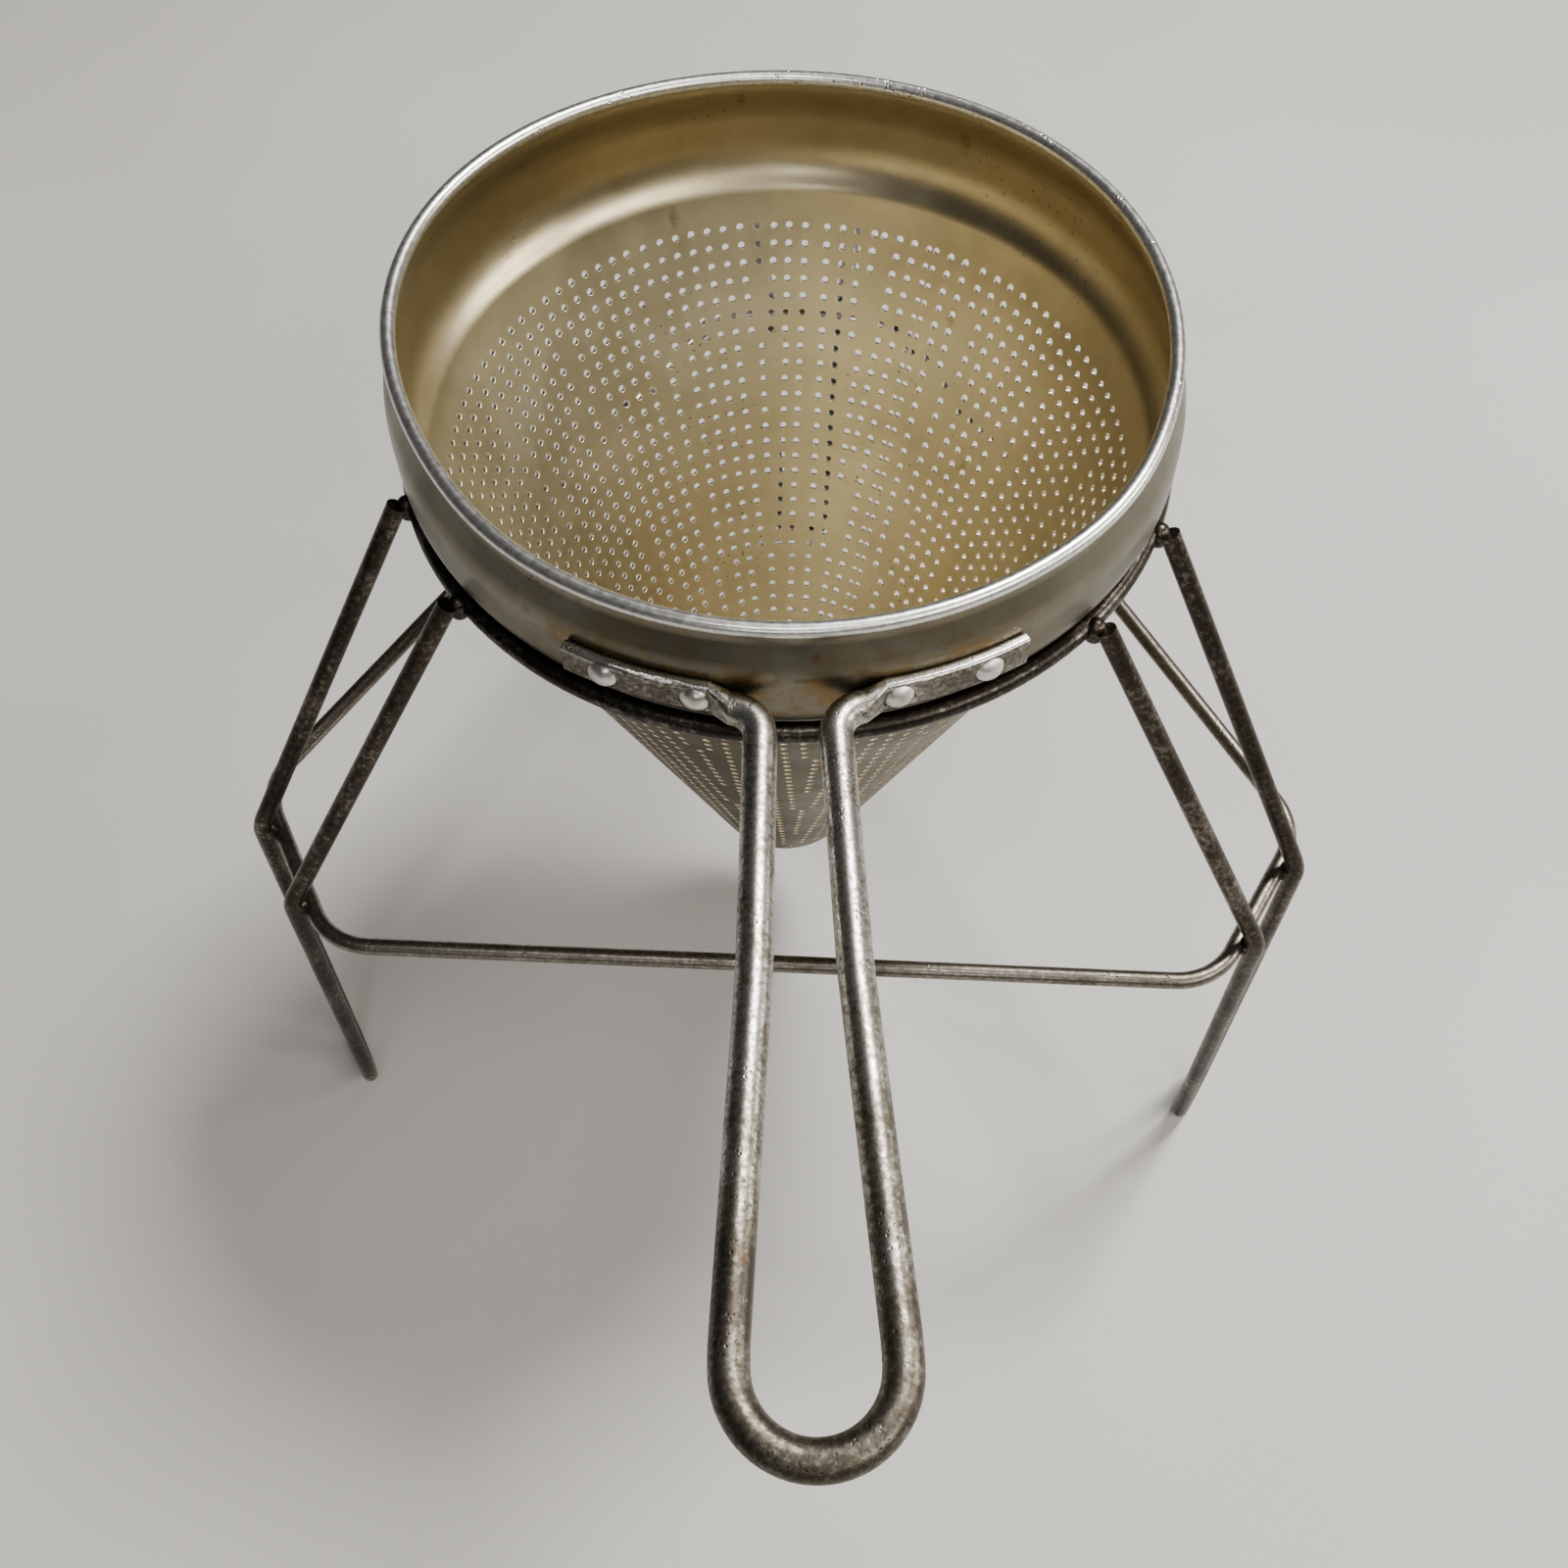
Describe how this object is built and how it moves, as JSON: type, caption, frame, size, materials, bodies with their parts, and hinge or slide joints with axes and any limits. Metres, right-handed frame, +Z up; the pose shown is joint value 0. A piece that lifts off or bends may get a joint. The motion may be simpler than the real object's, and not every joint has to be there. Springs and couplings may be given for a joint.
{
  "type": "cone food mill",
  "caption": "Perforated aluminium cone strainer with a rolled rim and a bent-rod loop handle, hung in a splayed three-legged wire stand with a triangular brace.",
  "frame": {"origin": "on the floor, on the axis of the stand's top ring", "axes": "+Z up along the stand and cone axis; -Y toward the handle; the legs stand at 90, 210 and 330 degrees from +X"},
  "size_m": [0.316, 0.4343, 0.2824],
  "materials": {
    "shell_aluminium": "satin, warm golden tan inside, stained grey outside",
    "handle_steel": "worn, dark with silver patches",
    "rivet_aluminium": "dull bright",
    "stand_steel": "dark patina with worn bright spots"
  },
  "bodies": {
    "stand": {"stand_ring": "stand_steel", "leg_rear": "stand_steel", "leg_left": "stand_steel", "leg_right": "stand_steel", "brace": "stand_steel"},
    "strainer": {"strainer_shell": "shell_aluminium", "handle": "handle_steel", "rivet_left_outer": "rivet_aluminium", "rivet_left_inner": "rivet_aluminium", "rivet_right_inner": "rivet_aluminium", "rivet_right_outer": "rivet_aluminium"}
  },
  "joints": [
    {"name": "strainer_lift", "type": "slide", "parent": "stand", "child": "strainer", "axis": [0, 0, 1], "range_m": [0, 0.21]}
  ]
}
